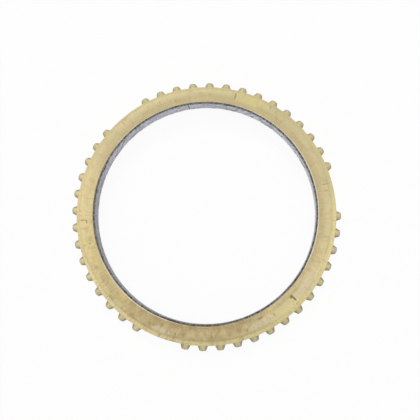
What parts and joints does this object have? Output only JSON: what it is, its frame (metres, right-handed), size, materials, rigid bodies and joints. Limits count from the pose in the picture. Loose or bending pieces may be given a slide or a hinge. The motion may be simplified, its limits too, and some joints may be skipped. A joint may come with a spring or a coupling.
{
  "type": "synchronizer ring",
  "caption": "Brass blocker ring with pointed outer teeth in spaced groups, shallow slots in the hub-side land and a woven friction lining bonded in its tapered bore.",
  "frame": {"origin": "on the ring axis, in the plane of the gear-side face", "axes": "+Z along the ring axis towards the hub side, +X through the tooth that ends a group beside a gap"},
  "size_m": [0.11, 0.11, 0.0108],
  "materials": {
    "brass": "worn satin, as machined",
    "lining": "woven, dull, with a dark cut edge"
  },
  "bodies": {
    "root": {"blocker_ring": "brass", "friction_lining": "lining"}
  },
  "joints": []
}
